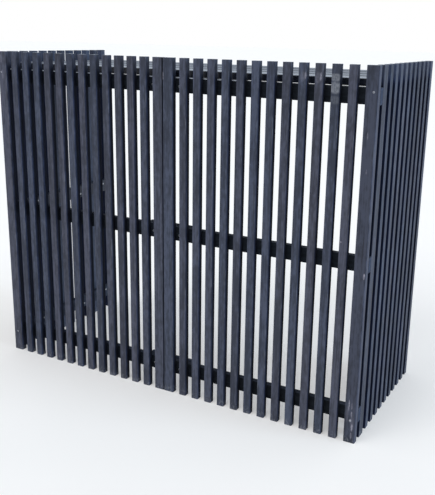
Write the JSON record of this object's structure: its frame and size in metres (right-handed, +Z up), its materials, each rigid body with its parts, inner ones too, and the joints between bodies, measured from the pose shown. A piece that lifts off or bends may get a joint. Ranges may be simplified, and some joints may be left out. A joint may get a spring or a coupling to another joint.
{
  "type": "air conditioner screen",
  "caption": "Free-standing slatted timber screen for an outdoor air conditioner: two front panels, two side walls and a boarded lid, open at the back and below.",
  "frame": {"origin": "on the ground, midway across the front and midway from front to back", "axes": "+X to the right along the front, +Y from the front towards the open back, +Z up"},
  "size_m": [1.23, 0.5106, 1],
  "materials": {
    "slat_paint": "slate blue-grey opaque wood stain, matt, brushed on planed softwood",
    "rail_paint": "slate blue-grey opaque wood stain, matt, brushed on planed softwood",
    "lid_paint": "slate blue-grey opaque wood stain, satin, with the sheen of the sky on it"
  },
  "bodies": {
    "root": {"front_left_rail_bottom": "rail_paint", "front_left_rail_middle": "rail_paint", "front_left_rail_top": "rail_paint", "front_left_slat_01": "slat_paint", "front_left_slat_02": "slat_paint", "front_left_slat_03": "slat_paint", "front_left_slat_04": "slat_paint", "front_left_slat_05": "slat_paint", "front_left_slat_06": "slat_paint", "front_left_slat_07": "slat_paint", "front_left_slat_08": "slat_paint", "front_left_slat_09": "slat_paint", "front_left_slat_10": "slat_paint", "front_left_slat_11": "slat_paint", "front_left_slat_12": "slat_paint", "front_left_slat_13": "slat_paint", "front_left_slat_14": "slat_paint", "front_right_rail_bottom": "rail_paint", "front_right_rail_middle": "rail_paint", "front_right_rail_top": "rail_paint", "front_right_slat_01": "slat_paint", "front_right_slat_02": "slat_paint", "front_right_slat_03": "slat_paint", "front_right_slat_04": "slat_paint", "front_right_slat_05": "slat_paint", "front_right_slat_06": "slat_paint", "front_right_slat_07": "slat_paint", "front_right_slat_08": "slat_paint", "front_right_slat_09": "slat_paint", "front_right_slat_10": "slat_paint", "front_right_slat_11": "slat_paint", "front_right_slat_12": "slat_paint", "front_right_slat_13": "slat_paint", "front_right_slat_14": "slat_paint", "left_side_rail_bottom": "rail_paint", "left_side_rail_middle_with_rear_slats": "slat_paint", "left_side_rail_top": "rail_paint", "left_side_slat_01": "slat_paint", "left_side_slat_02": "slat_paint", "left_side_slat_03": "slat_paint", "left_side_slat_04": "slat_paint", "left_side_slat_05": "slat_paint", "right_side_rail_bottom": "rail_paint", "right_side_rail_middle_with_rear_slats": "slat_paint", "right_side_rail_top": "rail_paint", "right_side_slat_01": "slat_paint", "right_side_slat_02": "slat_paint", "right_side_slat_03": "slat_paint", "right_side_slat_04": "slat_paint", "right_side_slat_05": "slat_paint", "seam_cleat_bottom": "rail_paint", "seam_cleat_middle": "rail_paint", "seam_cleat_top": "rail_paint", "lid_bearer": "rail_paint", "lid_board_01": "lid_paint", "lid_board_02": "lid_paint", "lid_board_03": "lid_paint", "lid_board_04": "lid_paint"}
  },
  "joints": []
}
